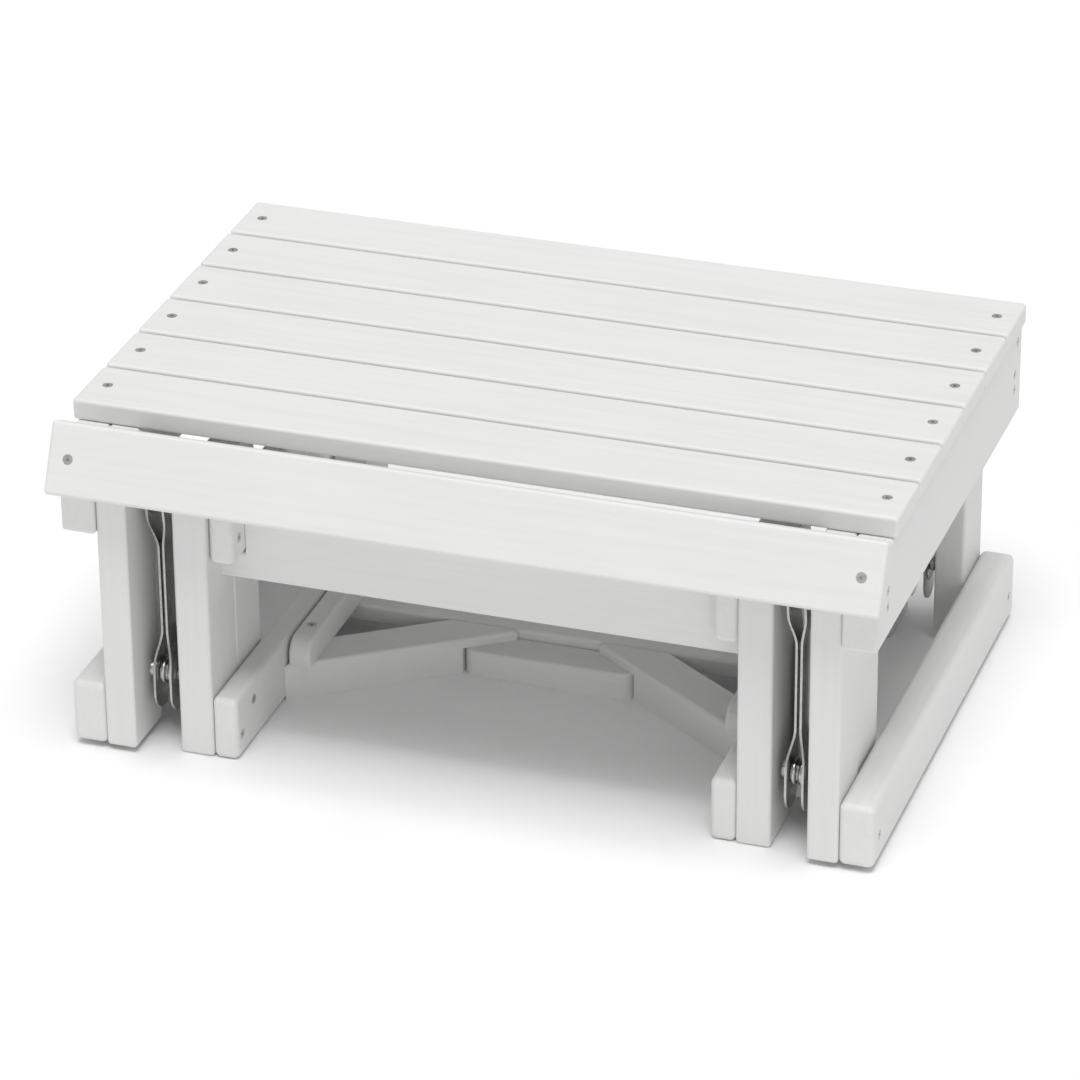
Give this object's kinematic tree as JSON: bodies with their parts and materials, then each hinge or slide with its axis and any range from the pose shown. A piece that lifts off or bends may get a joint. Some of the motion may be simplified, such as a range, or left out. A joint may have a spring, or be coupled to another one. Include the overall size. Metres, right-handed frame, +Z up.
{
  "type": "glider swing",
  "caption": "Low slatted gliding ottoman whose seat hangs on short swing arms from a fixed inner base and moves level to the front and back.",
  "frame": {"origin": "on the floor, in the middle of the whole object's box", "axes": "+X along the slats to the object's right side, -Y towards the front with the sloped apron, +Z up"},
  "size_m": [0.906, 0.621, 0.391],
  "materials": {
    "lumber": "white plastic lumber with a fine brushed grain",
    "arm_steel": "dull zinc plated plate",
    "bearing_steel": "plain turned ring",
    "pivot_hardware": "zinc plated",
    "screws": "zinc plated"
  },
  "bodies": {
    "base": {"base_bottom_rail_left": "lumber", "base_bottom_rail_right": "lumber", "base_frame_screws": "screws", "base_leg_backer_left": "lumber", "base_leg_backer_right": "lumber", "base_leg_front_left": "lumber", "base_leg_front_right": "lumber", "base_leg_rear_left": "lumber", "base_leg_rear_right": "lumber", "base_stretcher_front": "lumber", "base_stretcher_rear": "lumber", "base_upper_rail_left": "lumber", "base_upper_rail_right": "lumber", "brace_centre_board": "lumber", "brace_cleat_left": "lumber", "brace_cleat_right": "lumber", "brace_cross_bar": "lumber", "brace_diagonal_left": "lumber", "brace_diagonal_right": "lumber", "brace_screws": "screws", "upper_pivot_bolts": "pivot_hardware", "upper_pivot_nuts": "pivot_hardware", "upper_pivot_spacers": "pivot_hardware"},
    "seat": {"apron": "lumber", "apron_screws": "screws", "lower_pivot_bolts": "pivot_hardware", "lower_pivot_nuts": "pivot_hardware", "lower_pivot_spacers": "pivot_hardware", "seat_bottom_rail_left": "lumber", "seat_bottom_rail_right": "lumber", "seat_frame_screws": "screws", "seat_gap_block_left": "lumber", "seat_gap_block_right": "lumber", "seat_leg_backer_left": "lumber", "seat_leg_backer_right": "lumber", "seat_leg_front_left": "lumber", "seat_leg_front_right": "lumber", "seat_leg_rear_left": "lumber", "seat_leg_rear_right": "lumber", "seat_rear_batten": "lumber", "seat_upper_rail_left": "lumber", "seat_upper_rail_right": "lumber", "slat_1": "lumber", "slat_2": "lumber", "slat_3": "lumber", "slat_4": "lumber", "slat_5": "lumber", "slat_6": "lumber", "slat_screws": "screws"},
    "arm_front_left": {"swing_arm_front_left_bearings": "bearing_steel", "swing_arm_front_left_plates": "arm_steel"},
    "arm_front_right": {"swing_arm_front_right_bearings": "bearing_steel", "swing_arm_front_right_plates": "arm_steel"},
    "arm_rear_left": {"swing_arm_rear_left_bearings": "bearing_steel", "swing_arm_rear_left_plates": "arm_steel"},
    "arm_rear_right": {"swing_arm_rear_right_bearings": "bearing_steel", "swing_arm_rear_right_plates": "arm_steel"}
  },
  "joints": [
    {"name": "swing_front_left", "type": "hinge", "parent": "base", "child": "arm_front_left", "pos_m": [-0.352, -0.2305, 0.288], "axis": [1, 0, 0], "range_deg": [-10, 10]},
    {"name": "swing_front_right", "type": "hinge", "parent": "base", "child": "arm_front_right", "pos_m": [0.352, -0.2305, 0.288], "axis": [1, 0, 0], "range_deg": [-10, 10]},
    {"name": "swing_rear_left", "type": "hinge", "parent": "base", "child": "arm_rear_left", "pos_m": [-0.352, 0.2595, 0.288], "axis": [1, 0, 0], "range_deg": [-10, 10]},
    {"name": "swing_rear_right", "type": "hinge", "parent": "base", "child": "arm_rear_right", "pos_m": [0.352, 0.2595, 0.288], "axis": [1, 0, 0], "range_deg": [-10, 10]},
    {"name": "seat_level", "type": "hinge", "parent": "arm_front_left", "child": "seat", "pos_m": [-0.352, -0.2305, 0.08], "axis": [1, 0, 0], "range_deg": [-10, 10]}
  ],
  "couplings": [
    {"joint": "swing_front_right", "follows": "swing_front_left", "ratio": 1},
    {"joint": "swing_rear_left", "follows": "swing_front_left", "ratio": 1},
    {"joint": "swing_rear_right", "follows": "swing_front_left", "ratio": 1},
    {"joint": "seat_level", "follows": "swing_front_left", "ratio": -1}
  ]
}
